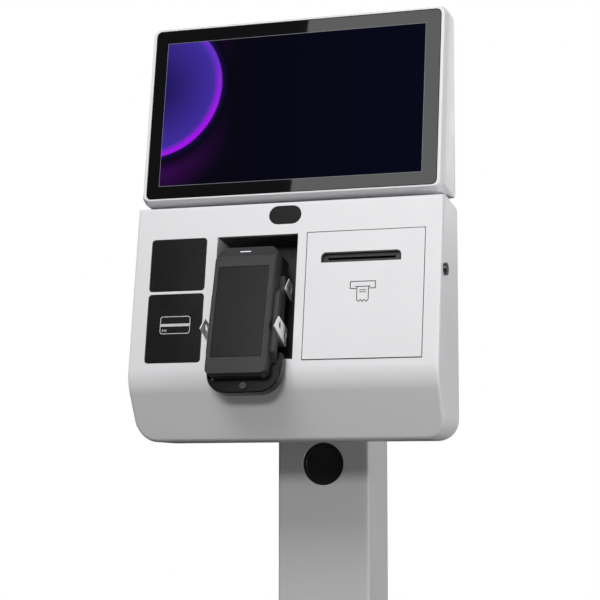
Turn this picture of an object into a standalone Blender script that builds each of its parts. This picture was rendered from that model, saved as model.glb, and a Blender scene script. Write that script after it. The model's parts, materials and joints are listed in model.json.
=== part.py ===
"""Self-service checkout kiosk: a floor-standing column that carries a counter-height module
(code readers, payment terminal in a clamp cradle, receipt printer) and a touch display above it.

Every size below is in millimetres; the mesh helpers turn them into metres.
World frame: origin on the floor under the middle of the base plate, +Z up, the front faces -Y.
"""
import math

import bmesh
import bpy
from mathutils import Matrix, Vector

MM = 0.001
GAP = 0.3                      # clearance between touching pieces

# ---- driving dimensions -------------------------------------------------------------------
BREAK_Y = -140.0               # front crease of the module, in world Y
BREAK_Z = 930.0                # height of that crease above the floor
WIDTH = 400.0                  # module width
UPPER_TILT = math.radians(8.5)     # upper face leans back
LOWER_TILT = math.radians(28.2)    # lower face slopes back under the crease
UPPER_LEN = 226.0              # upper face, crease to top edge, along the slope
LOWER_DROP = 73.2              # lower face, height of the crease above its bottom edge
DEPTH = 103.0                  # crease to the upright rear plane
WALL = 2.0                     # sheet thickness of the module's casings
COVER_Y = 98.8                 # where the rear covers begin

BASE = 420.0                   # base plate side
FOOT_H = 6.0
BASE_T = 8.0
COLUMN_W = 124.0
COLUMN_D = 92.5
COLUMN_Y = 181.0               # column front, behind the crease
COLUMN_WALL = 3.0
PORT_R = 27.2                  # cable port in the column's front
PORT_DROP = 99.0               # port centre below the crease

DISPLAY_W = 396.0
DISPLAY_Y = 35.4               # lower front edge of the display, from the crease
DISPLAY_Z = 233.3
DISPLAY_FACE_H = 233.0         # flat front of the display, along the slope
GLASS_W = 381.0
GLASS_H = 229.0

TERMINAL_X = -42.5
TERMINAL_Y = -40.0             # plane of the terminal's face at crease height
TERMINAL_TILT = math.radians(15.0)
TERMINAL_W = 78.0
TERMINAL_FOOT = 4.0            # lower end of the terminal along its slope
TERMINAL_TOP = 176.0

SHOULDER = 9.5                 # corner chamfers of the terminal's upper and lower ends
TOE = 6.5
CARD_SLOT_X = (-30.0, 27.0)    # card slot in the terminal's lower end
CARD_SLOT_D = (5.6, 8.4)

DOOR_X = (29.4, 178.1)
DOOR_T = (24.3, 183.6)
RECESS_X = (-89.0, 17.0)
RECESS_T = (25.0, 183.4)
RECESS_DEPTH = 57.0

HINGE_N = 2.6                  # door hinge line behind the face
HINGE_T = 26.3                 # and above the crease
KNUCKLE_R = 1.6
HINGE_PIN_R = 0.8
HINGE_BORE_R = 0.88
PIVOT_N = 20.0                 # cradle tilt pin behind the face
PIVOT_T = 64.0
ROLL_N = 42.0                  # paper roll axis
ROLL_T = 71.0
ROLL_R = 29.0
PLATEN_N = 20.0
PLATEN_T = 150.0
PLATEN_R = 6.0
LEVER_N = 36.0                 # print head release lever
LEVER_T = 156.0
LOCK_N = 13.0
LOCK_T = 134.0
CAM_X = (164.0, 168.5)         # lock cam; it points forward while the door is free to open
CAM_REACH = 10.0               # it turns down in front of the door's catch to lock it
CAM_HALF = 4.0
CATCH_N = 20.5                 # rear face of the door's catch lip
CATCH_T = (119.0, 127.0)
CATCH_T_SHEET = 2.0

UPPER_PANEL_X = (-177.3, -102.7)
UPPER_PANEL_T = (115.2, 183.4)
CARD_PANEL_T = (23.4, 111.8)
WINDOW_X = -1.2                # middle of the code scanner's window
WINDOW_T = 208.3
WINDOW_R = 12.0
DISPLAY_CABLE_X = 75.0
SLOT_X = (48.0, 149.5)         # receipt slot
SLOT_T = (144.5, 157.5)
DOOR_KNUCKLES = ((29.4, 49.6), (70.4, 137.6), (158.4, 178.1))
SHELL_KNUCKLES = ((50.0, 70.0), (138.0, 158.0))

BOLT_X = (-45.0, 45.0)         # main bolts between the column and its bracket
BOLT_Z = 45.0
BOLT_R = 4.0
BOLT_HOLE_R = 4.4
ARM_X = 45.0                   # display arm, half its width
ARM_Y = (106.6, 136.6)
CABLE_HOLE_R = 25.0            # through the base plate and the flange

TRAY_X = (-42.5, 53.0)         # bottom tray, in the terminal's frame
TRAY_D = 16.0                  # its front, behind the terminal's face
TRAY_S = (-13.0, 38.0)
JAW_D = (9.5, 20.0)            # clamp jaws beside the terminal
JAW_RELIEF = 20.6              # the tray's side walls stand behind the jaws
JAW_W = {"left": 3.6, "right": 6.0}
JAW_S = (25, 118)
WEB_S = (52, 72)               # the jaw's web, back to its slide on the back plate
POST_D = (24, 36)              # and its post, up to the upper tab
POST_TOP = 139
PLATE_D = (30.3, 33.3)         # cradle back plate, behind the terminal's face
SIDE = TERMINAL_W / 2
SCREW_X = 7.5                  # tray screw
SCREW_S = -4.8

TAB_T = 1.5                    # steel tabs; outlines run (into the object, up)
TAB_HOLE_R = 4.4
TAB_STEP = 5.2                 # the lower left tab steps this far out, over the module's face
TAB_LOWER = [(-2, 64), (44, 54), (44, 76.5), (11, 81.5)]
TAB_UPPER = [(23, 122), (50, 116), (50, 137), (36, 140)]
TAB_OUTBOARD = [(-2, 64), (27.7, 57.5), (27.7, 78.5), (11, 81.5)]
TAB_INBOARD = [(26.2, 58), (44, 54), (44, 76.5), (26.2, 78.5)]
TAB_JOG = [(26.2, 58), (27.7, 57.5), (27.7, 78.5), (26.2, 78.5)]
LOWER_TAB_HOLES = ((17, 72), (38, 67.5))
UPPER_TAB_HOLES = ((42, 128),)

AXLE_R = 2.0                   # platen axle and head lever
AXLE_BORE_R = 2.08
SHAFT_R = 4.0                  # paper spindle and cradle tilt pin
SHAFT_BORE_R = 4.08


# ---- frames: local axes are (across, into the object, up) ---------------------------------
def leaning_frame(x, y, z, lean):
    """A frame whose front plane leans back by an angle."""
    return Matrix.Translation(Vector((x, y, z)) * MM) @ Matrix.Rotation(-lean, 4, "X")


FLOOR = Matrix.Identity(4)
UPRIGHT = leaning_frame(0, BREAK_Y, BREAK_Z, 0)
MODULE = leaning_frame(0, BREAK_Y, BREAK_Z, UPPER_TILT)
DISPLAY = leaning_frame(0, BREAK_Y + DISPLAY_Y, BREAK_Z + DISPLAY_Z, UPPER_TILT)
TERMINAL = leaning_frame(TERMINAL_X, BREAK_Y + TERMINAL_Y, BREAK_Z, TERMINAL_TILT)


def from_frame(source, target, x, y, z):
    """The same point read in another frame, in millimetres."""
    point = target.inverted() @ (source @ (Vector((x, y, z)) * MM))
    return point / MM


# ---- materials ----------------------------------------------------------------------------
def material(name, colour, roughness, metallic=0.0):
    mat = bpy.data.materials.new(name)
    mat.use_nodes = True
    shader = mat.node_tree.nodes["Principled BSDF"]
    shader.inputs["Base Color"].default_value = (*colour, 1.0)
    shader.inputs["Roughness"].default_value = roughness
    shader.inputs["Metallic"].default_value = metallic
    return mat


def make_materials():
    return {
        "white_paint": material("white_paint", (0.78, 0.78, 0.79), 0.45),
        "column_paint": material("column_paint", (0.55, 0.55, 0.56), 0.5),
        "dark_paint": material("dark_paint", (0.05, 0.05, 0.055), 0.5),
        "black_gloss": material("black_gloss", (0.012, 0.012, 0.014), 0.15),
        "screen_glass": material("screen_glass", (0.01, 0.01, 0.015), 0.08),
        "grey_plastic": material("grey_plastic", (0.075, 0.075, 0.08), 0.5),
        "black_plastic": material("black_plastic", (0.02, 0.02, 0.022), 0.55),
        "steel": material("steel", (0.62, 0.62, 0.63), 0.35, 1.0),
        "zinc": material("zinc", (0.5, 0.5, 0.52), 0.45, 1.0),
        "rubber": material("rubber", (0.03, 0.03, 0.03), 0.9),
        "circuit": material("circuit", (0.02, 0.12, 0.05), 0.55),
        "paper": material("paper", (0.85, 0.85, 0.83), 0.9),
    }


# ---- mesh helpers -------------------------------------------------------------------------
def add_object(name, bm, mat, frame):
    """Turn a bmesh in millimetres into an object in metres, placed by a frame."""
    bmesh.ops.scale(bm, vec=(MM, MM, MM), verts=bm.verts)
    bmesh.ops.recalc_face_normals(bm, faces=bm.faces)
    mesh = bpy.data.meshes.new(name)
    bm.to_mesh(mesh)
    bm.free()
    obj = bpy.data.objects.new(name, mesh)
    bpy.context.scene.collection.objects.link(obj)
    obj.matrix_world = frame
    if mat:
        obj.data.materials.append(mat)
    return obj


def ring(bm, points):
    return [bm.verts.new(point) for point in points]


def loft(name, rings, mat, frame):
    """A closed body through rings of equal point counts."""
    bm = bmesh.new()
    loops = [ring(bm, points) for points in rings]
    count = len(loops[0])
    bm.faces.new(list(reversed(loops[0])))
    bm.faces.new(loops[-1])
    for low, high in zip(loops, loops[1:]):
        for i in range(count):
            j = (i + 1) % count
            bm.faces.new((low[i], low[j], high[j], high[i]))
    return add_object(name, bm, mat, frame)


def box(name, x, y, z, mat=None, frame=FLOOR):
    corners = [(x[0], z[0]), (x[1], z[0]), (x[1], z[1]), (x[0], z[1])]
    return prism_y(name, corners, y, mat, frame)


def prism_x(name, outline, x, mat=None, frame=FLOOR):
    """Extrude a (y, z) outline across X."""
    return loft(name, [[(end, p[0], p[1]) for p in outline] for end in x], mat, frame)


def prism_y(name, outline, y, mat=None, frame=FLOOR):
    """Extrude an (x, z) outline along Y."""
    return loft(name, [[(p[0], end, p[1]) for p in outline] for end in y], mat, frame)


def prism_z(name, outline, z, mat=None, frame=FLOOR):
    """Extrude an (x, y) outline along Z."""
    return loft(name, [[(p[0], p[1], end) for p in outline] for end in z], mat, frame)


def arc(cx, cy, radius, start, end, steps):
    """Points on an arc, angles in degrees."""
    angles = [math.radians(start + (end - start) * i / steps) for i in range(steps + 1)]
    return [(cx + radius * math.cos(a), cy + radius * math.sin(a)) for a in angles]


def rounded_rect(x, z, radius, steps=4):
    """Outline of a rectangle with four equal round corners."""
    return rounded_rect4(x, z, (radius, radius), steps)


def rounded_rect4(x, z, radii, steps=4):
    """Outline with one radius for the lower and one for the upper corners."""
    low, high = radii
    points = arc(x[1] - low, z[0] + low, low, -90, 0, steps)
    points += arc(x[1] - high, z[1] - high, high, 0, 90, steps)
    points += arc(x[0] + high, z[1] - high, high, 90, 180, steps)
    points += arc(x[0] + low, z[0] + low, low, 180, 270, steps)
    return points


def circle(cx, cy, radius, sides=24):
    return [(cx + radius * math.cos(2 * math.pi * i / sides),
             cy + radius * math.sin(2 * math.pi * i / sides)) for i in range(sides)]


def inset(points, distance):
    """Move every side of a convex, anticlockwise outline inwards."""
    result = []
    count = len(points)
    for i in range(count):
        a, b, c = (Vector(points[(i + k - 1) % count]) for k in range(3))
        d1 = (b - a).normalized()
        d2 = (c - b).normalized()
        n1 = Vector((-d1.y, d1.x))
        n2 = Vector((-d2.y, d2.x))
        step = (n1 + n2) / (1 + n1.dot(n2))
        result.append(tuple(b + step * distance))
    return result


def evaluate(obj):
    """Apply every modifier on an object."""
    bpy.context.view_layer.update()
    graph = bpy.context.evaluated_depsgraph_get()
    mesh = bpy.data.meshes.new_from_object(obj.evaluated_get(graph))
    obj.modifiers.clear()
    obj.data = mesh


def combine(obj, tools, operation):
    for tool in tools:
        cut = obj.modifiers.new("cut", "BOOLEAN")
        cut.operation = operation
        cut.solver = "EXACT"
        cut.object = tool
    evaluate(obj)
    for tool in tools:
        bpy.data.objects.remove(tool)
    return obj


def cut(obj, *tools):
    return combine(obj, tools, "DIFFERENCE")


def fuse(obj, *tools):
    return combine(obj, tools, "UNION")


def common(obj, *tools):
    return combine(obj, tools, "INTERSECT")


def soften(obj, width, segments=1, angle=50):
    """Bevel the edges that are sharper than an angle."""
    bm = bmesh.new()
    bm.from_mesh(obj.data)
    limit = math.radians(angle)
    edges = [e for e in bm.edges if e.is_manifold and e.calc_face_angle(0) > limit]
    bmesh.ops.bevel(bm, geom=edges, offset=width * MM, segments=segments, profile=0.5,
                    affect="EDGES", clamp_overlap=True)
    bm.to_mesh(obj.data)
    bm.free()
    return obj


def rod(name, axis, centre, radius, span, mat=None, frame=FLOOR, sides=24):
    """A round bar along an axis; span is its two ends on that axis."""
    outline = circle(centre[0], centre[1], radius, sides)
    make = {"x": prism_x, "y": prism_y, "z": prism_z}[axis]
    return make(name, outline, span, mat, frame)


def smooth(obj):
    """Smooth shading that keeps the sharp edges."""
    obj.data.shade_smooth()
    obj.data.set_sharp_from_angle(angle=math.radians(35))


def pivot(name, point, frame, objects):
    """Parent moving pieces to an empty on their joint's axis."""
    empty = bpy.data.objects.new(name, None)
    bpy.context.scene.collection.objects.link(empty)
    empty.matrix_world = frame @ Matrix.Translation(Vector(point) * MM)
    bpy.context.view_layer.update()
    for obj in objects:
        obj.parent = empty
        obj.matrix_parent_inverse = empty.matrix_world.inverted()
    return empty


# ---- stand: base, column and their fastenings ---------------------------------------------
def make_stand(mats):
    half = BASE / 2
    top = FOOT_H + BASE_T
    plate = prism_z("base_plate", rounded_rect((-half, half), (-half, half), 30, 5),
                    (FOOT_H, top), mats["column_paint"])
    column_mid = BREAK_Y + COLUMN_Y + COLUMN_D / 2
    cut(plate, rod("t", "z", (0, column_mid), CABLE_HOLE_R, (0, 30), sides=20))
    soften(plate, 1.5)

    reach = half - 40
    for end, sy in (("front", -1), ("rear", 1)):
        for side, sx in (("left", -1), ("right", 1)):
            rod(f"base_foot_{end}_{side}", "z", (sx * reach, sy * reach), 20, (0, FOOT_H - GAP),
                mats["rubber"])

    make_column(mats, top, column_mid)


def make_column(mats, floor, mid):
    half = COLUMN_W / 2
    front = BREAK_Y + COLUMN_Y
    rear = front + COLUMN_D
    flange_t = 6.0
    flange = box("column_flange", (-half - 28, half + 28), (front - 22, rear + 22),
                 (floor + GAP, floor + flange_t), mats["column_paint"])
    cut(flange, rod("t", "z", (0, mid), CABLE_HOLE_R, (0, 40), sides=20))
    soften(flange, 1.0)

    low = floor + flange_t + GAP
    high = BREAK_Z + 120
    tube = prism_z("column", rounded_rect((-half, half), (front, rear), 4, 2), (low, high),
                   mats["column_paint"])
    wall = COLUMN_WALL
    inner = prism_z("t", rounded_rect((-half + wall, half - wall), (front + wall, rear - wall), 2, 1),
                    (low - 1, high + 1))
    port_z = BREAK_Z - PORT_DROP
    port = rod("t", "y", (0, port_z), PORT_R + 0.5, (front - 5, front + 10), sides=40)
    holes = [rod("t", "y", (x, BREAK_Z + BOLT_Z), BOLT_HOLE_R, (front - 5, front + 10), sides=12)
             for x in BOLT_X]
    cut(tube, inner, port, *holes)

    plug = rod("column_port_cap", "y", (0, port_z), PORT_R, (front + 1.0, front + 12),
               mats["black_plastic"], sides=40)
    dish = rod("t", "y", (0, port_z), PORT_R - 4, (front + 0.0, front + 3), sides=32)
    cut(plug, dish)
    plug_in = wall + 1.5
    cap = box("column_top_cap", (-half + plug_in, half - plug_in), (front + plug_in, rear - plug_in),
              (high - 20, high), mats["black_plastic"])
    lid = prism_z("t", rounded_rect((-half, half), (front, rear), 4, 2), (high + GAP, high + 3))
    neck = box("t", (-half + 8, half - 8), (front + 8, rear - 8), (high - 1, high + 2))
    fuse(cap, neck, lid)
    soften(cap, 0.8)


# ---- module casings -----------------------------------------------------------------------
def module_profile():
    """Side outline of the module (y, z), anticlockwise, with a rounded crease."""
    turn = UPPER_TILT + LOWER_TILT
    radius = 50.0
    tangent = radius * math.tan(turn / 2)
    centre = Vector((radius * math.cos(UPPER_TILT) + tangent * math.sin(UPPER_TILT),
                     tangent * math.cos(UPPER_TILT) - radius * math.sin(UPPER_TILT)))
    top = (UPPER_LEN * math.sin(UPPER_TILT), UPPER_LEN * math.cos(UPPER_TILT))
    bottom = (LOWER_DROP * math.tan(LOWER_TILT), -LOWER_DROP)
    start = 180 - math.degrees(UPPER_TILT)
    crease = arc(centre.x, centre.y, radius, start, start + math.degrees(turn), 6)
    rear_top = top[1] - (COVER_Y - GAP - top[0]) * math.tan(UPPER_TILT)
    rear = COVER_Y - GAP
    return [bottom, (rear, bottom[1]), (rear, rear_top), top] + crease


def module_outline():
    """Front outline of the module (x, z): large radii below, square above."""
    half = WIDTH / 2
    low = -LOWER_DROP
    high = UPPER_LEN + 20
    radius = 26.0
    points = arc(half - radius, low + radius, radius, -90, 0, 7)
    points += [(half, high), (-half, high)]
    points += arc(-half + radius, low + radius, radius, 180, 270, 7)
    return points


def crossed(name, profile, outline, mat, frame):
    """The body common to a side outline and a front outline."""
    body = prism_x(name, profile, (-260, 260), mat, frame)
    return common(body, prism_y("t", outline, (-60, 200), None, frame))


def bevel_front(obj, width, segments):
    """Bevel the edges where a forward face meets a side, top or bottom face."""
    bm = bmesh.new()
    bm.from_mesh(obj.data)
    edges = []
    for edge in bm.edges:
        if len(edge.link_faces) == 2:
            slopes = sorted(face.normal.y for face in edge.link_faces)
            if slopes[0] < -0.6 and slopes[1] > -0.45:
                edges.append(edge)
    bmesh.ops.bevel(bm, geom=edges, offset=width * MM, segments=segments, profile=0.5,
                    affect="EDGES", clamp_overlap=True)
    bm.to_mesh(obj.data)
    bm.free()


def make_front_shell(mats):
    profile = module_profile()
    outline = module_outline()
    shell = crossed("module_front_shell", profile, outline, mats["white_paint"], UPRIGHT)
    bevel_front(shell, 5.0, 2)
    inner_profile = inset(profile, WALL)
    rear = [(y + (40 if y > COVER_Y - 10 else 0), z) for y, z in inner_profile]
    hollow = crossed("t", rear, inset(outline, WALL), None, UPRIGHT)
    cuts = [hollow]
    cuts.append(prism_y("t", rounded_rect(UPPER_PANEL_X, UPPER_PANEL_T, 4.5), (-20, 12), None, MODULE))
    cuts.append(prism_y("t", rounded_rect(UPPER_PANEL_X, CARD_PANEL_T, 4.5), (-20, 12), None, MODULE))
    cuts.append(box("t", RECESS_X, (-20, 12), RECESS_T, None, MODULE))
    margin = 1.0
    sweep = 1.4
    cuts.append(box("t", (DOOR_X[0] - margin, DOOR_X[1] + margin), (-20, 12),
                    (DOOR_T[0] - sweep, DOOR_T[1] + margin), None, MODULE))
    cuts.append(prism_y("t", stadium(WINDOW_X, WINDOW_T, WINDOW_R), (-20, 12), None, MODULE))
    cuts.append(rod("t", "x", (LOCK_N, LOCK_T), 6.3, (180, 220), None, MODULE, 20))
    cuts.append(rod("t", "z", (DISPLAY_CABLE_X, 78), 8, (150, 240), None, UPRIGHT, 16))
    cut(shell, *cuts)
    smooth(shell)


def stadium(x, z, radius, half_flat=9.3, steps=8):
    """Outline of a slot with round ends."""
    points = arc(x + half_flat, z, radius, -90, 90, steps)
    points += arc(x - half_flat, z, radius, 90, 270, steps)
    return points


def make_rear_cover(mats):
    """Flat rear cover with the box that meets the column."""
    low = -LOWER_DROP
    high = 213.4
    half = WIDTH / 2
    outline = rounded_rect4((-half, half), (low, high), (26, 2), 7)
    cover = prism_y("module_rear_cover", outline, (COVER_Y, DEPTH), mats["white_paint"], UPRIGHT)
    box_x = 130.0
    box_z = (-45.0, 195.0)
    rear = COLUMN_Y - GAP
    body = prism_y("t", rounded_rect((-box_x, box_x), box_z, 8, 3), (COVER_Y + 1, rear), None, UPRIGHT)
    fuse(cover, body)
    sheet = 2.5
    inner_x = (-box_x + sheet, box_x - sheet)
    hollow = prism_y("t", rounded_rect(inner_x, (box_z[0] + sheet, box_z[1] - sheet), 5, 3),
                     (COVER_Y - 5, rear - sheet), None, UPRIGHT)
    cuts = [hollow]
    cuts += [rod("t", "y", (x, BOLT_Z), BOLT_HOLE_R, (rear - 10, rear + 10), None, UPRIGHT, 12)
             for x in BOLT_X]
    cuts.append(box("t", (-ARM_X - 1, ARM_X + 1), (ARM_Y[0] - 1, ARM_Y[1] + 1), (150, 230), None, UPRIGHT))
    for side in (-1, 1):
        for i in range(6):
            z = 20 + 18 * i
            cuts.append(box("t", (side * 90 - 22, side * 90 + 22), (rear - 10, rear + 10), (z, z + 5),
                            None, UPRIGHT))
    cut(cover, *cuts)
    smooth(cover)


def make_structure(mats):
    """Inner frame of the module: chassis tray, column bracket, bolts and the display arm."""
    chassis_y = (90.0, 92.0)
    chassis = box("chassis_plate", (-195, 195), chassis_y, (-30, 190), mats["steel"], UPRIGHT)
    flanges = [box("t", (s * 195 - 1, s * 195 + 1), (70, 91.5), (-30, 190), None, UPRIGHT) for s in (-1, 1)]
    fuse(chassis, *flanges)
    cut(chassis, box("t", (-40, 40), (80, 100), (-20, 40), None, UPRIGHT),
        box("t", (85, 125), (80, 100), (130, 180), None, UPRIGHT))

    y0 = chassis_y[1] + GAP
    back = COLUMN_Y - 2.5 - 2 * GAP
    profile = [(-69, back), (-69, y0 + 3), (-85, y0 + 3), (-85, y0), (-66, y0), (-66, back - 3),
               (66, back - 3), (66, y0), (85, y0), (85, y0 + 3), (69, y0 + 3), (69, back)]
    bracket = prism_z("column_bracket", profile, (-25, 115), mats["steel"], UPRIGHT)
    holes = [rod("t", "y", (x, BOLT_Z), BOLT_HOLE_R, (back - 10, back + 10), None, UPRIGHT, 12)
             for x in BOLT_X]
    cut(bracket, *holes)

    for side, x in zip(("left", "right"), BOLT_X):
        bolt = rod("bracket_bolt_" + side, "y", (x, BOLT_Z), BOLT_R, (back - 5, COLUMN_Y + COLUMN_WALL + 4),
                   mats["zinc"], UPRIGHT, 12)
        fuse(bolt, rod("t", "y", (x, BOLT_Z), 7.0, (back - 10, back - 3 - GAP), None, UPRIGHT, 6))
    make_arm(mats, y0)


def make_arm(mats, y0):
    """Tube that rises from the chassis to the back of the display."""
    arm = box("display_arm", (-ARM_X, ARM_X), ARM_Y, (125, 415), mats["dark_paint"], UPRIGHT)
    wall = 2.5
    hollow = box("t", (-ARM_X + wall, ARM_X - wall), (ARM_Y[0] + wall, ARM_Y[1] - wall), (120, 420),
                 None, UPRIGHT)
    cut(arm, hollow)
    vesa = box("t", (-60, 60), (DEPTH + GAP, ARM_Y[0] + 0.5), (290, 405), None, UPRIGHT)
    bars = [box("t", (-ARM_X, ARM_X), (y0, ARM_Y[0] + 0.5), (z, z + 16), None, UPRIGHT) for z in (126, 168)]
    fuse(arm, vesa, *bars)


# ---- readers ------------------------------------------------------------------------------
def make_readers(mats):
    fit = 0.5
    for name, span in (("upper_reader_window", UPPER_PANEL_T), ("card_reader_window", CARD_PANEL_T)):
        outline = rounded_rect((UPPER_PANEL_X[0] + fit, UPPER_PANEL_X[1] - fit),
                               (span[0] + fit, span[1] - fit), 4.0)
        soften(prism_y(name, outline, (0.2, 3.0), mats["black_gloss"], MODULE), 0.4)
    for name, span in (("upper_reader_board", UPPER_PANEL_T), ("card_antenna_board", CARD_PANEL_T)):
        board = box(name, (UPPER_PANEL_X[0] + 4, UPPER_PANEL_X[1] - 4), (3.4, 5.0),
                    (span[0] + 5, span[1] - 4), mats["circuit"], MODULE)
        mid = (span[0] + span[1]) / 2
        chip = box("t", (-150, -130), (4.9, 8.0), (mid - 10, mid + 10), None, MODULE)
        fuse(board, chip)
    window = prism_y("scanner_window", stadium(WINDOW_X, WINDOW_T, WINDOW_R - GAP), (0.3, 2.8),
                     mats["black_gloss"], MODULE)
    soften(window, 0.4)
    engine = box("scanner_engine", (WINDOW_X - 17, WINDOW_X + 17), (3.4, 26), (198, 219),
                 mats["black_plastic"], MODULE)
    lens = rod("t", "y", (WINDOW_X - 6, WINDOW_T), 5.5, (2.0, 8.0), None, MODULE, 20)
    lamp = rod("t", "y", (WINDOW_X + 9, WINDOW_T), 3.5, (2.0, 6.0), None, MODULE, 16)
    cut(engine, lens, lamp)


# ---- receipt printer ----------------------------------------------------------------------
def make_door(mats):
    sheet = 1.2
    door = box("printer_door", DOOR_X, (0, sheet), DOOR_T, mats["white_paint"], MODULE)
    rims = [box("t", (DOOR_X[0], DOOR_X[0] + sheet), (0.5, 5.5), (34, DOOR_T[1]), None, MODULE),
            box("t", (DOOR_X[1] - sheet, DOOR_X[1]), (0.5, 5.5), (34, DOOR_T[1]), None, MODULE),
            box("t", DOOR_X, (0.5, 5.5), (DOOR_T[1] - sheet, DOOR_T[1]), None, MODULE)]
    knuckles = [rod("t", "x", (HINGE_N, HINGE_T), KNUCKLE_R, span, None, MODULE, 16)
                for span in DOOR_KNUCKLES]
    catch_x = CAM_X[0] - 4.0
    catch = box("t", (catch_x, catch_x + 1.5), (0.5, CATCH_N), CATCH_T, None, MODULE)
    lip = box("t", (catch_x, CAM_X[1] - 1.0), (CATCH_N - CATCH_T_SHEET, CATCH_N), CATCH_T, None, MODULE)
    fuse(door, *rims, *knuckles, catch, lip)
    slots = [prism_y("t", slot_outline(0), (-5, 6), None, MODULE)]
    for span in SHELL_KNUCKLES:
        slots.append(box("t", (span[0] - 0.4, span[1] + 0.4), (0.7, 6), (20, HINGE_T + 3.0), None, MODULE))
    slots.append(rod("t", "x", (HINGE_N, HINGE_T), HINGE_BORE_R, (0, 220), None, MODULE, 16))
    cut(door, *slots)

    scoop = prism_y("receipt_scoop", slot_outline(0.4), (0.3, 8), mats["grey_plastic"], MODULE)
    bowl = prism_y("t", slot_outline(1.6), (-2, 4.5), None, MODULE)
    slit = box("t", (SLOT_X[0] + 8, SLOT_X[1] - 8), (-2, 12), (148.5, 151.5), None, MODULE)
    cut(scoop, bowl, slit)

    pin = rod("door_hinge_pin", "x", (HINGE_N, HINGE_T), HINGE_PIN_R, (DOOR_X[0] + 0.5, DOOR_X[1] - 0.5),
              mats["steel"], MODULE, 16)
    for side, span in zip(("left", "right"), SHELL_KNUCKLES):
        back = HINGE_N + 5.6
        outline = [(HINGE_N, HINGE_T - 0.7), (back - 1.4, HINGE_T - 0.7), (back - 1.4, 20.5),
                   (WALL + GAP, 20.5),
                   (WALL + GAP, 18.0), (back, 18.0), (back, HINGE_T + 0.7), (HINGE_N, HINGE_T + 0.7)]
        leaf = prism_x("door_hinge_leaf_" + side, outline, span, mats["steel"], MODULE)
        barrel = rod("t", "x", (HINGE_N, HINGE_T), KNUCKLE_R, span, None, MODULE, 16)
        fuse(leaf, barrel)
        cut(leaf, rod("t", "x", (HINGE_N, HINGE_T), HINGE_BORE_R, (0, 220), None, MODULE, 16))
    return [door, scoop, pin]


def slot_outline(shrink):
    """Receipt slot: square below, round above."""
    return rounded_rect4((SLOT_X[0] + shrink, SLOT_X[1] - shrink), (SLOT_T[0] + shrink, SLOT_T[1] - shrink),
                         (0.8, 6.0 - shrink), 4)


def make_printer(mats):
    span = (54.0, 154.0)
    body = box("printer_frame", span, (10, 46), (126, 174), mats["black_plastic"], MODULE)
    bay = box("t", (span[0] + 4, span[1] - 4), (5, 32), (136, 166), None, MODULE)
    axle = rod("t", "x", (PLATEN_N, PLATEN_T), AXLE_BORE_R, (40, 170), None, MODULE, 20)
    lever_hole = rod("t", "x", (LEVER_N, LEVER_T), AXLE_BORE_R, (145, 160), None, MODULE, 16)
    throat = box("t", (span[0] + 10, span[1] - 10), (26, 31), (120, 140), None, MODULE)
    cut(body, bay, axle, lever_hole, throat)

    platen = rod("platen_roller", "x", (PLATEN_N, PLATEN_T), PLATEN_R, (60, 148), mats["rubber"], MODULE, 24)
    fuse(platen, rod("t", "x", (PLATEN_N, PLATEN_T), AXLE_R, (51, 157), None, MODULE, 20))

    box("print_head", (62, 146), (PLATEN_N + PLATEN_R + GAP, 31.5), (142, 158), mats["steel"], MODULE)
    lever = rod("head_lever", "x", (LEVER_N, LEVER_T), AXLE_R, (150.5, 160), mats["dark_paint"], MODULE, 16)
    handle = box("t", (155, 159), (LEVER_N - 2, LEVER_N + 2), (LEVER_T, LEVER_T + 30), None, MODULE)
    fuse(lever, handle)

    holder = box("paper_holder", (60, 148), (74, 76), (45, 100), mats["black_plastic"], MODULE)
    ends = [box("t", x, (38, 75.5), (60, 82), None, MODULE) for x in ((60, 62), (146, 148))]
    fuse(holder, *ends)
    cut(holder, rod("t", "x", (ROLL_N, ROLL_T), SHAFT_BORE_R, (40, 170), None, MODULE, 20))
    roll = rod("paper_roll", "x", (ROLL_N, ROLL_T), ROLL_R, (64, 144), mats["paper"], MODULE, 40)
    cut(roll, rod("t", "x", (ROLL_N, ROLL_T), 6.3, (40, 170), None, MODULE, 20))
    spindle = rod("paper_spindle", "x", (ROLL_N, ROLL_T), SHAFT_R, (58, 150), mats["black_plastic"],
                  MODULE, 20)
    core = rod("t", "x", (ROLL_N, ROLL_T), 6.0, (65, 143), None, MODULE, 20)
    fuse(spindle, core)
    return platen, lever, roll, spindle


def make_lock(mats):
    outer = WIDTH / 2
    barrel = rod("lock_barrel", "x", (LOCK_N, LOCK_T), 6.0, (CAM_X[1] - 0.5, outer), mats["zinc"], MODULE, 24)
    rim = rod("t", "x", (LOCK_N, LOCK_T), 7.7, (outer + GAP, outer + 3.6), None, MODULE, 28)
    step = rod("t", "x", (LOCK_N, LOCK_T), 6.0, (outer - 1, outer + 1), None, MODULE, 24)
    fuse(barrel, step, rim)
    keyway = box("t", (outer + 1.5, outer + 6), (LOCK_N - 0.8, LOCK_N + 0.8), (LOCK_T - 4, LOCK_T + 4),
                 None, MODULE)
    cut(barrel, keyway)
    cam = box("t", CAM_X, (LOCK_N - CAM_REACH, LOCK_N + CAM_HALF), (LOCK_T - CAM_HALF, LOCK_T + CAM_HALF),
              None, MODULE)
    fuse(barrel, cam)
    nut = rod("lock_nut", "x", (LOCK_N, LOCK_T), 9.5, (outer - WALL - 3.5, outer - WALL - GAP),
              mats["zinc"], MODULE, 6)
    cut(nut, rod("t", "x", (LOCK_N, LOCK_T), 6.1, (180, 220), None, MODULE, 24))
    return barrel


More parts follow.
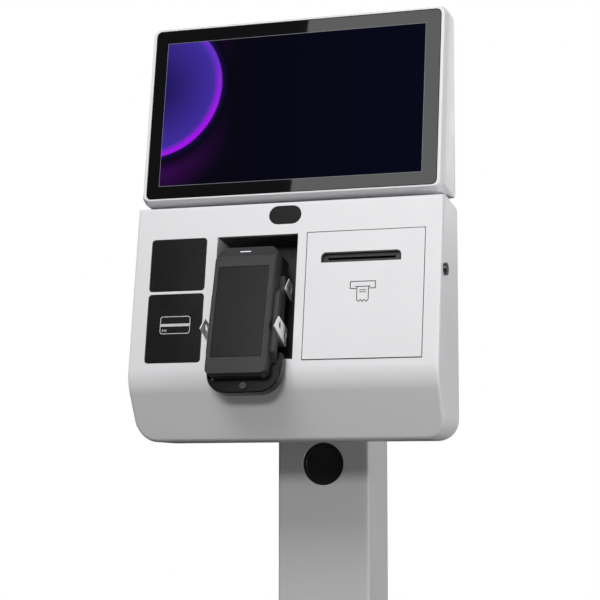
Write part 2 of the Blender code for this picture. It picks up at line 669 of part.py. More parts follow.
# ---- recess, cradle and payment terminal --------------------------------------------------
def make_recess(mats):
    start = WALL + GAP
    sheet = 1.2
    x0, x1 = RECESS_X
    t0, t1 = RECESS_T
    liner = box("recess_liner", (x0 - sheet, x1 + sheet), (start, RECESS_DEPTH), (t0 - sheet, t1 + sheet),
                mats["white_paint"], MODULE)
    flange = box("t", (x0 - 8, x1 + 8), (start, start + sheet), (t0 - 5, t1 + 5), None, MODULE)
    fuse(liner, flange)
    well = box("t", (x0, x1), (-5, RECESS_DEPTH - sheet), (t0, t1), None, MODULE)
    cable = prism_y("t", rounded_rect((-50, -25), (112, 134), 4, 3), (40, 80), None, MODULE)
    cut(liner, well, cable)

    floor = RECESS_DEPTH - sheet - GAP
    mount = box("cradle_mount", (x0 + 1, x1 - 1), (floor - 3, floor), (t0 + 1, t1 - 1),
                mats["dark_paint"], MODULE)
    window = prism_y("t", rounded_rect((-50, -25), (112, 134), 4, 3), (40, 80), None, MODULE)
    cut(mount, window)
    ears = []
    for x in ((-61, -58), (-27, -24)):
        outline = arc(PIVOT_N, PIVOT_T, 9, 90, 270, 8) + [(floor - 2, 46), (floor - 2, 84)]
        ears.append(prism_x("t", outline, x, None, MODULE))
    fuse(mount, *ears)
    cut(mount, rod("t", "x", (PIVOT_N, PIVOT_T), SHAFT_BORE_R, (-80, 0), None, MODULE, 24))
    pin = rod("cradle_pin", "x", (PIVOT_N, PIVOT_T), SHAFT_R, (-62.5, -22.5), mats["steel"], MODULE, 24)
    fuse(pin, rod("t", "x", (PIVOT_N, PIVOT_T), 6.0, (-65.5, -61.4), None, MODULE, 24))


def make_cradle(mats):
    _, pivot_d, pivot_s = from_frame(MODULE, TERMINAL, TERMINAL_X, PIVOT_N, PIVOT_T)
    plate = prism_y("cradle_back", rounded_rect4((-37.0, 37.5), (-10, 102), (25, 6), 5), PLATE_D,
                    mats["dark_paint"], TERMINAL)
    lugs = []
    for x in ((-15.2, -12.2), (12.2, 15.2)):
        outline = [(PLATE_D[1] - 1, pivot_s + 14), (PLATE_D[1] - 1, pivot_s - 14)]
        outline += arc(pivot_d, pivot_s, 8, -90, 90, 8)
        lugs.append(prism_x("t", outline, x, None, TERMINAL))
    rail_d = (PLATE_D[1] - 1, PLATE_D[1] + 2.5)
    rails = [box("t", (-37.5, 37.5), rail_d, (s, s + 3), None, TERMINAL) for s in (48, 72.5)]
    fuse(plate, *lugs, *rails)
    holes = [rod("t", "x", (pivot_d, pivot_s), SHAFT_BORE_R, (-60, 60), None, TERMINAL, 24)]
    holes.append(rod("t", "y", (SCREW_X, SCREW_S), 2.6, (20, 40), None, TERMINAL, 16))
    holes.append(box("t", (-10, 10), (20, 40), (20, 42), None, TERMINAL))
    cut(plate, *holes)

    tray = prism_y("cradle_tray", rounded_rect4(TRAY_X, TRAY_S, (27, 3), 7),
                   (TRAY_D, PLATE_D[0] - GAP), mats["black_plastic"], TERMINAL)
    soften(tray, 1.2)
    pocket = prism_y("t", rounded_rect4((-SIDE - 0.6, SIDE + 0.6), (TERMINAL_FOOT - GAP, 60), (3, 3), 3),
                     (0, 60), None, TERMINAL)
    hollow = prism_y("t", rounded_rect4((TRAY_X[0] + 12, TRAY_X[1] - 16), (TRAY_S[0] + 3, -1), (6, 2), 4),
                     (TRAY_D + 5, 60), None, TERMINAL)
    reliefs = [box("t", x, (0, JAW_RELIEF), (20, 60), None, TERMINAL) for x in ((-60, -SIDE), (SIDE, 60))]
    hole = rod("t", "y", (SCREW_X, SCREW_S), 2.6, (0, 60), None, TERMINAL, 16)
    cut(tray, pocket, hollow, hole, *reliefs)
    smooth(tray)
    head = (TRAY_D - 2.2, TRAY_D - GAP)
    screw = rod("tray_screw", "y", (SCREW_X, SCREW_S), 4.2, head, mats["zinc"], TERMINAL, 20)
    fuse(screw, rod("t", "y", (SCREW_X, SCREW_S), 2.4, (head[0] + 1, 36), None, TERMINAL, 16))
    cut(screw, box("t", (SCREW_X - 2.8, SCREW_X + 2.8), (head[0] - 1, head[0] + 1.0),
                   (SCREW_S - 0.5, SCREW_S + 0.5), None, TERMINAL))

    left = make_clamp(mats, "left", -1)
    right = make_clamp(mats, "right", 1)
    return [plate, tray, screw] + left, right


def make_clamp(mats, side, sign):
    """One jaw beside the terminal, and its two steel tabs."""
    def across(low, high):
        return tuple(sorted((sign * low, sign * high)))

    inner = SIDE + GAP
    outer = inner + JAW_W[side]
    front, rear = JAW_D
    foot, top = JAW_S
    jaw = [(front, foot + 11), (rear, foot), (rear, top), (front + 4, top), (front, top - 7)]
    arm = prism_x("clamp_arm_" + side, jaw, across(inner, outer), mats["grey_plastic"], TERMINAL)
    web = box("t", across(inner, outer), (rear - 1, 40), WEB_S, None, TERMINAL)
    post = box("t", across(inner, outer), POST_D, (WEB_S[1] - 1, POST_TOP), None, TERMINAL)
    slide = box("t", across(20, outer), (PLATE_D[1] + GAP, 38), (51.4, 72.1), None, TERMINAL)
    fuse(arm, web, post, slide)

    skin = (outer + GAP, outer + GAP + TAB_T)
    upper = prism_x(f"clamp_tab_{side}_upper", TAB_UPPER, across(*skin), mats["steel"], TERMINAL)
    outline = TAB_INBOARD if side == "left" else TAB_LOWER
    lower = prism_x(f"clamp_tab_{side}_lower", outline, across(*skin), mats["steel"], TERMINAL)
    if side == "left":
        outboard = (skin[0] + TAB_STEP, skin[1] + TAB_STEP)
        jog = prism_x("t", TAB_JOG, across(skin[0], outboard[1]), None, TERMINAL)
        fuse(lower, jog, prism_x("t", TAB_OUTBOARD, across(*outboard), None, TERMINAL))
    for tab, holes in ((lower, LOWER_TAB_HOLES), (upper, UPPER_TAB_HOLES)):
        cut(tab, *[rod("t", "x", at, TAB_HOLE_R, (-70, 70), None, TERMINAL, 16) for at in holes])
    return [arm, lower, upper]


def make_terminal(mats):
    """Hand-held payment terminal: face frame, glass, casing, paper cover and side key."""
    face = prism_y("terminal_face", rounded_rect4((-SIDE, SIDE), (6, 158), (7, 4), 3), (0, 2.8),
                   mats["grey_plastic"], TERMINAL)
    soften(face, 0.8)
    screen = rounded_rect((-33.2, 32.0), (27.3, 144.5), 0.6, 1)
    cut(face, prism_y("t", screen, (-5, 1.2), None, TERMINAL))
    glass = prism_y("terminal_glass", rounded_rect((-33.0, 31.8), (27.5, 144.3), 0.5, 1), (0.05, 1.0),
                    mats["screen_glass"], TERMINAL)

    front = 2.8 + GAP
    outline = [(front, 6.0), (front + 1.4, TERMINAL_FOOT), (26, TERMINAL_FOOT), (30, 9), (30, 106), (54, 124),
               (54, 166), (49, 171.5), (13, TERMINAL_TOP), (front, 160)]
    casing = prism_x("terminal_casing", outline, (-SIDE, SIDE), mats["grey_plastic"], TERMINAL)
    corners = []
    for end, size in ((TERMINAL_TOP, SHOULDER), (TERMINAL_FOOT, TOE)):
        away = 1 if end == TERMINAL_TOP else -1
        for side in (-1, 1):
            wedge = [(side * (SIDE - size - 1), end + away), (side * (SIDE + 1), end + away),
                     (side * (SIDE + 1), end - away * (size + 1))]
            corners.append(prism_y("t", wedge, (-5, 80), None, TERMINAL))
    soften(casing, 3.0, 2)
    cut(casing, *corners)
    smooth(casing)
    lid_zone = box("t", (-SIDE + 4, SIDE - 4), (12, 60), (140, 200), None, TERMINAL)
    lid_tool = box("t", (-SIDE + 4 + GAP, SIDE - 4 - GAP), (12 + GAP, 52), (140 + GAP, 200), None, TERMINAL)
    lid = casing.copy()
    lid.data = casing.data.copy()
    lid.name = "terminal_paper_cover"
    bpy.context.scene.collection.objects.link(lid)
    common(lid, lid_tool)
    well = box("t", (-SIDE + 8, SIDE - 8), (12, 50), (100, 141), None, TERMINAL)
    cut(lid, box("t", (-SIDE + 8, SIDE - 8), (16, 49), (138, 167), None, TERMINAL))
    key_slot = box("t", (-SIDE - 5, -SIDE + 3), (12, 18), (122, 136), None, TERMINAL)
    card_slot = box("t", CARD_SLOT_X, CARD_SLOT_D, (TERMINAL_FOOT - 5, TERMINAL_FOOT + 14), None, TERMINAL)
    cut(casing, lid_zone, well, key_slot, card_slot)
    key = box("terminal_power_key", (-SIDE - 0.6, -SIDE + 2.0), (12 + GAP, 18 - GAP), (122 + GAP, 136 - GAP),
              mats["black_plastic"], TERMINAL)
    return [face, glass, casing, lid], key


# ---- display ------------------------------------------------------------------------------
def make_display(mats):
    half = DISPLAY_W / 2
    side_in = 3.5
    low_in = 4.0
    slope_depth = 14.0
    top = DISPLAY_FACE_H + low_in
    rings = []
    for depth, share in ((0, 1.0), (4, 0.45), (slope_depth, 0.0), (90, 0.0)):
        outline = rounded_rect((-half + side_in * share, half - side_in * share),
                               (-low_in + low_in * share, top - low_in * share), 10 - 1.5 * share, 5)
        rings.append([(x, depth, t) for x, t in outline])
    housing = loft("display_housing", rings, mats["white_paint"], DISPLAY)
    floor_z = DISPLAY_Z - 6.0
    keep = box("t", (-half - 5, half + 5), (0, COVER_Y - GAP), (floor_z, 600), None, UPRIGHT)
    common(housing, keep)
    wall = 2.5
    inner = prism_y("t", rounded_rect((-half + 6, half - 6), (1, top - 5), 6, 3), (4.2, 100), None, DISPLAY)
    inner_keep = box("t", (-half, half), (0, 140), (floor_z + wall, 600), None, UPRIGHT)
    common(inner, inner_keep)
    glass_t = (2.0, 2.0 + GLASS_H)
    seat_x = (-GLASS_W / 2 - GAP, GLASS_W / 2 + GAP)
    seat = prism_y("t", rounded_rect(seat_x, (glass_t[0] - GAP, glass_t[1] + GAP), 7, 4),
                   (-5, 6), None, DISPLAY)
    cuts = [inner, seat]
    for i in range(5):
        cuts.append(box("t", (-20, 20), (68 + 4 * i, 70 + 4 * i), (200, 240), None, UPRIGHT))
    cut(housing, *cuts)
    smooth(housing)

    glass = prism_y("display_glass", rounded_rect((-GLASS_W / 2, GLASS_W / 2), glass_t, 7, 4), (0.2, 3.2),
                    mats["screen_glass"], DISPLAY)
    soften(glass, 0.5)
    lcd = box("lcd_panel", (-180, 176), (3.6, 10.5), (10, 224), mats["zinc"], DISPLAY)
    rim = box("t", (-168, 164), (9.5, 15), (22, 212), None, DISPLAY)
    fuse(lcd, rim)

    rear_low = floor_z + 0.2
    rear_high = 461.0
    cover = prism_y("display_rear_cover", rounded_rect((-half, half), (rear_low, rear_high), 6, 3),
                    (COVER_Y, DEPTH),
                    mats["white_paint"], UPRIGHT)
    vents = [box("t", (x, x + 3), (90, 110), (420, 446), None, UPRIGHT) for x in range(-150, 151, 12)]
    cut(cover, *vents)
    board = box("main_board", (-85, 85), (92, 93.6), (250, 400), mats["circuit"], UPRIGHT)
    sink = box("t", (-25, 25), (84, 92.5), (310, 360), None, UPRIGHT)
    fuse(board, sink)
    box("speaker", (-24, 24), (66, 90), (floor_z + wall + GAP, floor_z + wall + 16),
        mats["black_plastic"], UPRIGHT)


def make_electronics(mats):
    supply = box("power_supply", (74, 122), (106, 165), (-20, 120), mats["steel"], UPRIGHT)
    soften(supply, 1.0)


# ---- assembly -----------------------------------------------------------------------------
def main():
    for obj in list(bpy.data.objects):
        bpy.data.objects.remove(obj)
    mats = make_materials()
    make_stand(mats)
    make_front_shell(mats)
    make_rear_cover(mats)
    make_structure(mats)
    make_readers(mats)
    door_parts = make_door(mats)
    platen, lever, roll, spindle = make_printer(mats)
    lock = make_lock(mats)
    make_recess(mats)
    cradle, clamp = make_cradle(mats)
    terminal, key = make_terminal(mats)
    make_display(mats)
    make_electronics(mats)

    pivot("door_axis", (0, HINGE_N, HINGE_T), MODULE, door_parts)
    pivot("platen_axis", (0, PLATEN_N, PLATEN_T), MODULE, [platen])
    pivot("lever_axis", (0, LEVER_N, LEVER_T), MODULE, [lever])
    pivot("roll_axis", (0, ROLL_N, ROLL_T), MODULE, [roll, spindle])
    pivot("lock_axis", (0, LOCK_N, LOCK_T), MODULE, [lock])
    pivot("cradle_axis", (0, PIVOT_N, PIVOT_T), MODULE, cradle + clamp + terminal + [key])
    bpy.context.view_layer.update()


main()
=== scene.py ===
"""Looks of the self-service checkout kiosk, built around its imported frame.

Lengths in this file are millimetres unless a name ends in _M; mesh helpers turn them into metres.
Local frames have the axes (across, into the object, up the slope), as the CAD's do.
"""
import itertools
import json
import math

import bmesh
import bpy
from mathutils import Matrix, Vector


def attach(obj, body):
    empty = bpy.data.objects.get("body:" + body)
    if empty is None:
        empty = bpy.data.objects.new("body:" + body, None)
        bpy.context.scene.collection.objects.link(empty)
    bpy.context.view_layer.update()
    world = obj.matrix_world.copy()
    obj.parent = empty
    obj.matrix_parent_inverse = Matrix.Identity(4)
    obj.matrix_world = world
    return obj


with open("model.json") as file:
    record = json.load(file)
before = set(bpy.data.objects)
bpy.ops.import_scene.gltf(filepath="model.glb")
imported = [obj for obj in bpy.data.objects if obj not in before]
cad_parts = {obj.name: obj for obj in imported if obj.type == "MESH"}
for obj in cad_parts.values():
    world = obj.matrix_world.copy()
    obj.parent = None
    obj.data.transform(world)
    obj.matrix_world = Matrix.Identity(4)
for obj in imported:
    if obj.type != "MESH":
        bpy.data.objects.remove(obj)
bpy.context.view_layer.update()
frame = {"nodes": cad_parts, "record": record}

MM = 0.001
NODES = frame["nodes"]

# ---- frames of the CAD, repeated here -----------------------------------------------------
CREASE = (-140.0, 930.0)           # world Y and Z of the module's front crease
MODULE_TILT = math.radians(8.5)
DISPLAY_BACK = 35.4                # from the crease to the display's lower front edge
DISPLAY_RISE = 233.3
TERMINAL_X = -42.5
TERMINAL_FORWARD = 40.0
TERMINAL_TILT = math.radians(15.0)


def leaning_frame(x, y, z, lean):
    return Matrix.Translation(Vector((x, y, z)) * MM) @ Matrix.Rotation(-lean, 4, "X")


UPRIGHT = leaning_frame(0, *CREASE, 0)
MODULE = leaning_frame(0, *CREASE, MODULE_TILT)
DISPLAY = leaning_frame(0, CREASE[0] + DISPLAY_BACK, CREASE[1] + DISPLAY_RISE, MODULE_TILT)
TERMINAL = leaning_frame(TERMINAL_X, CREASE[0] - TERMINAL_FORWARD, CREASE[1], TERMINAL_TILT)
FLOOR = Matrix.Identity(4)


# ---- node helpers -------------------------------------------------------------------------
class Shader:
    """A node material that grows from left to right around one Principled BSDF."""

    def __init__(self, name):
        self.mat = bpy.data.materials.new(name)
        self.mat.use_nodes = True
        self.tree = self.mat.node_tree
        self.bsdf = self.tree.nodes["Principled BSDF"]
        self.coords = self.tree.nodes.new("ShaderNodeTexCoord")

    def node(self, kind, **settings):
        made = self.tree.nodes.new(kind)
        for key, value in settings.items():
            setattr(made, key, value)
        return made

    def link(self, out, socket):
        self.tree.links.new(out, socket)

    def feed(self, socket, value):
        """Put a number, a colour or another node's output into a socket."""
        if isinstance(value, (int, float)):
            socket.default_value = value
        elif isinstance(value, tuple):
            socket.default_value = (*value, 1.0)
        else:
            self.link(value, socket)

    def stretched(self, scale):
        """Object coordinates, stretched by a factor along each axis."""
        mapping = self.node("ShaderNodeMapping")
        mapping.inputs["Scale"].default_value = scale
        self.link(self.coords.outputs["Object"], mapping.inputs["Vector"])
        return mapping.outputs["Vector"]

    def noise(self, scale, detail=3.0, rough=0.5, vector=None):
        made = self.node("ShaderNodeTexNoise")
        made.inputs["Scale"].default_value = scale
        made.inputs["Detail"].default_value = detail
        made.inputs["Roughness"].default_value = rough
        self.link(vector or self.coords.outputs["Object"], made.inputs["Vector"])
        return made.outputs["Fac"]

    def math(self, operation, *values):
        made = self.node("ShaderNodeMath", operation=operation)
        for socket, value in zip(made.inputs, values):
            self.feed(socket, value)
        return made.outputs["Value"]

    def span(self, value, low, high, to_low, to_high, smooth=False):
        """Map a value's span from low to high onto to_low to to_high, and hold it there."""
        made = self.node("ShaderNodeMapRange")
        if smooth:
            made.interpolation_type = "SMOOTHSTEP"
        ends = {"From Min": low, "From Max": high, "To Min": to_low, "To Max": to_high}
        for key, number in ends.items():
            made.inputs[key].default_value = number
        self.link(value, made.inputs["Value"])
        return made.outputs["Result"]

    def mix(self, factor, a, b):
        made = self.node("ShaderNodeMix", data_type="RGBA")
        self.feed(made.inputs["Factor"], factor)
        self.feed(made.inputs["A"], a)
        self.feed(made.inputs["B"], b)
        return made.outputs["Result"]

    def bump(self, height, distance):
        made = self.node("ShaderNodeBump")
        made.inputs["Distance"].default_value = distance
        self.link(height, made.inputs["Height"])
        self.link(made.outputs["Normal"], self.bsdf.inputs["Normal"])

    def edges(self, low=0.52, high=0.60):
        """1 along convex edges, 0 on flat faces."""
        geometry = self.node("ShaderNodeNewGeometry")
        return self.span(geometry.outputs["Pointiness"], low, high, 0.0, 1.0)

    def set(self, **values):
        for key, value in values.items():
            self.feed(self.bsdf.inputs[key.replace("_", " ")], value)


def shifted(colour, factor):
    return tuple(min(1.0, c * factor) for c in colour)


# ---- materials ----------------------------------------------------------------------------
def coated(name, colour, rough, grain, depth, wear=0.25, drift=0.04):
    """Powder coat or textured moulding: fine grain, slow colour drift and paler, rubbed edges."""
    s = Shader(name)
    slow = s.noise(7.0, 2.0)
    body = s.mix(slow, shifted(colour, 1 - drift), shifted(colour, 1 + drift))
    worn = s.math("MULTIPLY", s.edges(), wear)
    fine = s.noise(grain, 2.0)
    speck = s.span(fine, 0.62, 0.75, 0.0, 0.35)
    body = s.mix(speck, body, shifted(colour, 0.93))
    s.set(Base_Color=s.mix(worn, body, shifted(colour, 1.35)))
    smudge = s.noise(28.0, 4.0, 0.6)
    s.set(Roughness=s.span(smudge, 0.3, 0.7, rough - 0.05, rough + 0.06))
    s.bump(fine, depth * MM)
    return s.mat


def brushed(name, colour, rough, along=(1.0, 1.0, 40.0), depth=0.012):
    """Rolled or ground metal: streaks along one direction, with small scratches."""
    s = Shader(name)
    streak = s.noise(120.0, 4.0, 0.7, s.stretched(along))
    s.set(Base_Color=s.mix(streak, shifted(colour, 0.86), shifted(colour, 1.1)))
    s.set(Metallic=1.0, Roughness=s.span(streak, 0.3, 0.7, rough - 0.08, rough + 0.1))
    s.bump(streak, depth * MM)
    return s.mat


def gloss(name, colour, rough, spread=0.07, specular=0.5, grain=1400.0, depth=0.004):
    """Smooth moulding or acrylic with faint orange peel and finger smudges."""
    s = Shader(name)
    smudge = s.noise(22.0, 5.0, 0.62)
    s.set(Base_Color=s.mix(smudge, shifted(colour, 0.85), shifted(colour, 1.15)))
    s.set(Roughness=s.span(smudge, 0.35, 0.7, rough, rough + spread), Specular_IOR_Level=specular)
    s.bump(s.noise(grain, 2.0), depth * MM)
    return s.mat


def satin_sheet():
    """Zinc-plated sheet: a soft metallic sheen over a pale, slightly cloudy base."""
    s = Shader("satin_sheet_look")
    cloud = s.noise(90.0, 4.0, 0.65)
    s.set(Base_Color=s.mix(cloud, (0.84, 0.84, 0.85), (0.98, 0.98, 0.98)), Metallic=0.1)
    s.set(Roughness=s.span(cloud, 0.3, 0.7, 0.34, 0.5))
    s.bump(s.noise(1300.0, 2.0), 0.006 * MM)
    return s.mat


def circuit_board():
    """Green solder resist, broken up by pale tracks."""
    s = Shader("circuit_look")
    cells = s.node("ShaderNodeTexBrick")
    cells.inputs["Scale"].default_value = 160.0
    cells.inputs["Mortar Size"].default_value = 0.06
    s.feed(cells.inputs["Color1"], (0.012, 0.10, 0.04))
    s.feed(cells.inputs["Color2"], (0.02, 0.14, 0.06))
    s.feed(cells.inputs["Mortar"], (0.45, 0.38, 0.16))
    s.link(s.coords.outputs["Object"], cells.inputs["Vector"])
    s.set(Base_Color=cells.outputs["Color"], Roughness=s.span(s.noise(60.0), 0.3, 0.7, 0.32, 0.5))
    s.bump(cells.outputs["Fac"], 0.03 * MM)
    return s.mat


def thermal_paper():
    """Fine edge lines of the wound web, and paper fibres."""
    s = Shader("paper_look")
    fibre = s.noise(900.0, 4.0, 0.7, s.stretched((0.25, 1, 1)))
    s.set(Base_Color=s.mix(fibre, (0.80, 0.80, 0.77), (0.90, 0.90, 0.88)), Roughness=0.85)
    s.bump(fibre, 0.02 * MM)
    return s.mat


def moulded_rubber():
    s = Shader("rubber_look")
    grain = s.noise(500.0, 4.0, 0.6)
    s.set(Base_Color=s.mix(grain, (0.016, 0.016, 0.017), (0.04, 0.04, 0.042)))
    s.set(Roughness=s.span(grain, 0.3, 0.7, 0.75, 0.92))
    s.bump(grain, 0.06 * MM)
    return s.mat


def flat_ink(name, colour):
    """Printed line: even colour with a trace of mottle."""
    s = Shader(name)
    s.set(Base_Color=s.mix(s.noise(700.0), shifted(colour, 0.92), shifted(colour, 1.06)), Roughness=0.5)
    s.bump(s.noise(1500.0), 0.003 * MM)
    return s.mat


ISOTROPIC = (1, 1, 1)              # brushed metal without a direction: plated or cast


def make_looks():
    return {
        "white_paint": coated("white_paint_look", (0.80, 0.80, 0.815), 0.42, 1500.0, 0.010,
                              wear=0.0, drift=0.008),
        "column_paint": coated("column_paint_look", (0.60, 0.60, 0.61), 0.5, 620.0, 0.09,
                               wear=0.1, drift=0.03),
        "dark_paint": coated("dark_paint_look", (0.040, 0.040, 0.043), 0.5, 1100.0, 0.03),
        # painted shade: dark look of the sheet on the recess ceiling, standing in for the shade that falls
        # there
        "recess_shade_sheet": coated("recess_shade_sheet_look", (0.085, 0.085, 0.090), 0.6, 1100.0, 0.03),
        "grey_plastic": coated("grey_plastic_look", (0.031, 0.032, 0.033), 0.44, 1800.0, 0.02,
                               wear=0.9, drift=0.08),
        "black_plastic": coated("black_plastic_look", (0.013, 0.013, 0.014), 0.32, 1500.0, 0.012,
                                wear=0.5),
        "black_gloss": gloss("black_gloss_look", (0.0065, 0.0065, 0.007), 0.24),
        "gloss_moulding": gloss("gloss_moulding_look", (0.0040, 0.0040, 0.0045), 0.22, specular=0.3),
        "screen_glass": gloss("screen_glass_look", (0.0045, 0.0045, 0.005), 0.012,
                              spread=0.02, grain=300.0, depth=0.0002),
        "handheld_glass": gloss("handheld_glass_look", (0.0095, 0.0095, 0.010), 0.28,
                                specular=0.4, grain=300.0, depth=0.0006),
        "scanner_glass": gloss("scanner_glass_look", (0.0065, 0.0065, 0.007), 0.30, specular=0.22),
        "steel": brushed("steel_look", (0.74, 0.74, 0.75), 0.32),
        "zinc": brushed("zinc_look", (0.60, 0.60, 0.62), 0.34, along=ISOTROPIC, depth=0.008),
        "black_zinc": brushed("black_zinc_look", (0.11, 0.11, 0.115), 0.28, along=ISOTROPIC, depth=0.008),
        "satin_sheet": satin_sheet(),
        "rubber": moulded_rubber(),
        "circuit": circuit_board(),
        "paper": thermal_paper(),
    }


# Nodes that look different from the rest of their material slot.
OWN_LOOKS = {
    "terminal_glass": "handheld_glass", "scanner_window": "scanner_glass",
    "cradle_tray": "gloss_moulding", "tray_screw": "black_zinc", "lock_barrel": "black_zinc",
    "clamp_tab_left_lower": "satin_sheet", "clamp_tab_left_upper": "satin_sheet",
    "clamp_tab_right_lower": "satin_sheet", "clamp_tab_right_upper": "satin_sheet",
}


# ---- CAD nodes ----------------------------------------------------------------------------
EDGE_DEFAULT = 0.35
EDGE_WIDTHS = {
    "module_front_shell": 0.5, "module_rear_cover": 0.5, "display_housing": 0.4,
    "display_rear_cover": 0.4, "base_plate": 1.0, "column": 0.6, "column_top_cap": 0.6,
    "column_flange": 0.8, "display_glass": 0.4, "cradle_tray": 0.8, "recess_liner": 0.3,
    "paper_roll": 0.4, "platen_roller": 0.3,
}
WELD_M = 1e-6
FLAT_ANGLE = math.radians(0.4)     # faces that meet at less than this are one flat face
BEVEL_ANGLE = math.radians(30)
SHARP_ANGLE = math.radians(32)


def dress_node(name, node, look):
    """Give a CAD node its look, and round its edges with modifiers that leave its own mesh alone."""
    node.data.materials.clear()
    node.data.materials.append(look)
    weld = node.modifiers.new("weld", "WELD")
    weld.merge_threshold = WELD_M
    flat = node.modifiers.new("flat", "DECIMATE")
    flat.decimate_type = "DISSOLVE"
    flat.angle_limit = FLAT_ANGLE
    bevel = node.modifiers.new("edge", "BEVEL")
    bevel.width = EDGE_WIDTHS.get(name, EDGE_DEFAULT) * MM
    bevel.segments = 2
    bevel.limit_method = "ANGLE"
    bevel.angle_limit = BEVEL_ANGLE
    normals = node.modifiers.new("normals", "WEIGHTED_NORMAL")
    normals.keep_sharp = False


def dress_nodes(looks):
    slot_of = {part["node"]: part["material_slot"] for part in frame["record"]["subparts"]}
    for name, node in NODES.items():
        dress_node(name, node, looks[OWN_LOOKS.get(name, slot_of[name])])


# ---- mesh helpers -------------------------------------------------------------------------
def mesh_object(name, bm, look):
    """Turn a bmesh into an object of the scene, and free the bmesh."""
    mesh = bpy.data.meshes.new(name)
    bm.to_mesh(mesh)
    bm.free()
    mesh.materials.append(look)
    made = bpy.data.objects.new(name, mesh)
    bpy.context.scene.collection.objects.link(made)
    return made


def make_piece(name, bm, local, body, look, smooth=True):
    """Finish a bmesh that is in millimetres in a local frame: it becomes a piece in world coordinates."""
    bmesh.ops.recalc_face_normals(bm, faces=bm.faces)
    bm.transform(local @ Matrix.Scale(MM, 4))
    piece = mesh_object(name, bm, look)
    if smooth:
        piece.data.shade_smooth()
        piece.data.set_sharp_from_angle(angle=SHARP_ANGLE)
    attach(piece, body)


def arc(cx, cy, radius, start, end, steps):
    angles = [math.radians(start + (end - start) * i / steps) for i in range(steps + 1)]
    return [(cx + radius * math.cos(a), cy + radius * math.sin(a)) for a in angles]


def rounded_rect(x, t, radius, steps=6):
    points = arc(x[1] - radius, t[0] + radius, radius, -90, 0, steps)
    points += arc(x[1] - radius, t[1] - radius, radius, 0, 90, steps)
    points += arc(x[0] + radius, t[1] - radius, radius, 90, 180, steps)
    points += arc(x[0] + radius, t[0] + radius, radius, 180, 270, steps)
    return points


def add_loft(bm, rings):
    """Skin through closed rings of equal point counts, with its two ends capped."""
    loops = [[bm.verts.new(p) for p in ring] for ring in rings]
    count = len(loops[0])
    for low, high in zip(loops, loops[1:]):
        for i in range(count):
            j = (i + 1) % count
            bm.faces.new((low[i], low[j], high[j], high[i]))
    bm.faces.new(list(reversed(loops[0])))
    bm.faces.new(loops[-1])


def add_slab(bm, outline, depth):
    """Extrude an (across, up) outline along the depth axis."""
    add_loft(bm, [[(x, d, t) for x, t in outline] for d in depth])


def stroke_sides(points, width, closed):
    """The two mitred borders of a line of one width along a polyline."""
    count = len(points)
    left, right = [], []
    for i, point in enumerate(points):
        here = Vector(point)
        ways = []
        if closed or i > 0:
            ways.append((here - Vector(points[i - 1])).normalized())
        if closed or i < count - 1:
            ways.append((Vector(points[(i + 1) % count]) - here).normalized())
        sides = [Vector((-way.y, way.x)) for way in ways]
        side = sides[0]
        if len(sides) == 2:
            side = (sides[0] + sides[1]) / (1 + sides[0].dot(sides[1]))
        left.append(here + side * width / 2)
        right.append(here - side * width / 2)
    return left, right


def add_stroke(bm, points, width, depth, closed=False):
    """A flat raised line of one width along a polyline, mitred at its corners."""
    left, right = stroke_sides(points, width, closed)
    front, back = [[(bm.verts.new((a.x, d, a.y)), bm.verts.new((b.x, d, b.y)))
                    for a, b in zip(left, right)] for d in depth]
    count = len(points)
    for i in range(count if closed else count - 1):
        j = (i + 1) % count
        (a, b), (c, d) = front[i], front[j]
        (e, f), (g, h) = back[i], back[j]
        for quad in ((a, b, d, c), (e, g, h, f), (a, c, g, e), (b, f, h, d)):
            bm.faces.new(quad)
    if not closed:
        bm.faces.new((front[0][0], back[0][0], back[0][1], front[0][1]))
        bm.faces.new((front[-1][0], front[-1][1], back[-1][1], back[-1][0]))


# ---- module -------------------------------------------------------------------------------
CARD_ICON_X = (-158.8, -119.4)
CARD_ICON_T = (61.0, 82.7)
CARD_CORNER = 3.2
CARD_LINE = 0.9
CARD_STRIPE = 3.4
CARD_STRIPE_END = 0.5              # from the card's outline to the stripe's ends
TICK_COUNT = 3
TICK_STEP = 2.4
TICK_T = (2.6, 5.6)                # above the card's lower edge
CARD_SKIN = (0.05, 0.21)           # the icon stands on the window, whose face is at 0.2


def make_card_icon(ink):
    """Outline of a card with its stripe and three ticks."""
    bm = bmesh.new()
    (left, right), (low, high) = CARD_ICON_X, CARD_ICON_T
    add_stroke(bm, rounded_rect(CARD_ICON_X, CARD_ICON_T, CARD_CORNER), CARD_LINE, CARD_SKIN, closed=True)
    middle = (low + high) / 2
    stripe = [(left + CARD_STRIPE_END, middle), (right - CARD_STRIPE_END, middle)]
    add_stroke(bm, stripe, CARD_STRIPE, CARD_SKIN)
    for i in range(TICK_COUNT):
        tick = left + CARD_CORNER + TICK_STEP * i
        add_stroke(bm, [(tick, low + TICK_T[0]), (tick, low + TICK_T[1])], CARD_LINE, CARD_SKIN)
    make_piece("card_icon", bm, MODULE, "kiosk", ink, smooth=False)


RECEIPT_SLOT_X = (86.9, 118.4)     # the icon's own slot, with the receipt below it
RECEIPT_SLOT_T = (110.4, 119.2)
RECEIPT_X = (95.4, 110.0)
RECEIPT_LOW = 96.4
RECEIPT_TOP_GAP = 2.4              # from the slot's lower line up to the receipt's top
RECEIPT_TOP_OVERHANG = 2.6
RECEIPT_SIDE_GAP = 0.8
RECEIPT_LINE = 1.0
TEETH = 6
TOOTH = 2.4
TEXT_LINES = 2
TEXT_DROP = 4.2                    # from the receipt's top to its first line
TEXT_STEP = 2.7
TEXT_MARGIN = 3.0
RECEIPT_SKIN = (-0.12, 0.02)       # the icon stands on the door, whose face is at 0


